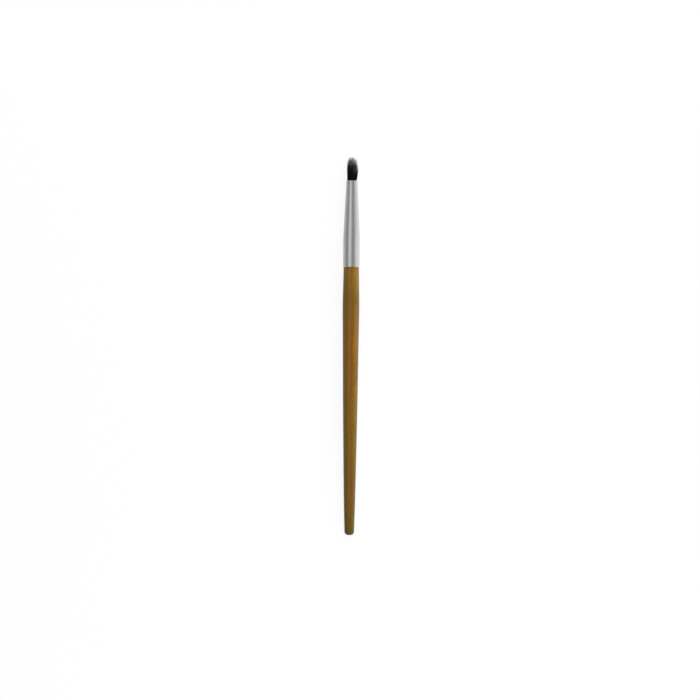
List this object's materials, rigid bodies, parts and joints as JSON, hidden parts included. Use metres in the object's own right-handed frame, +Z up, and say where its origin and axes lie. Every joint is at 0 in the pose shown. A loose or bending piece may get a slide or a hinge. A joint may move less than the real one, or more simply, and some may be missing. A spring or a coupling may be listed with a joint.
{
  "type": "lip brush",
  "caption": "Slim round lip brush: a domed tuft of dark hair, a tapered aluminium ferrule and a swelling lacquered wooden handle.",
  "frame": {"origin": "on the surface that the brush lies on, under the middle of its length", "axes": "+Y along the brush from the butt end to the tip, +Z up; the axis rises 0.70 degrees towards the tip, because the handle lies on its long taper at the balance point"},
  "size_m": [0.0076, 0.1704, 0.0078],
  "materials": {
    "lacquered_wood": "gloss",
    "wood_glue": "satin",
    "satin_aluminium": "satin",
    "cured_resin": "gloss",
    "binding_thread": "matte",
    "tuft_hair": "satin"
  },
  "bodies": {
    "root": {"handle": "lacquered_wood", "handle_glue": "wood_glue", "ferrule": "satin_aluminium", "resin_plug": "cured_resin", "thread_binding": "binding_thread", "bristle_tuft": "tuft_hair"}
  },
  "joints": []
}
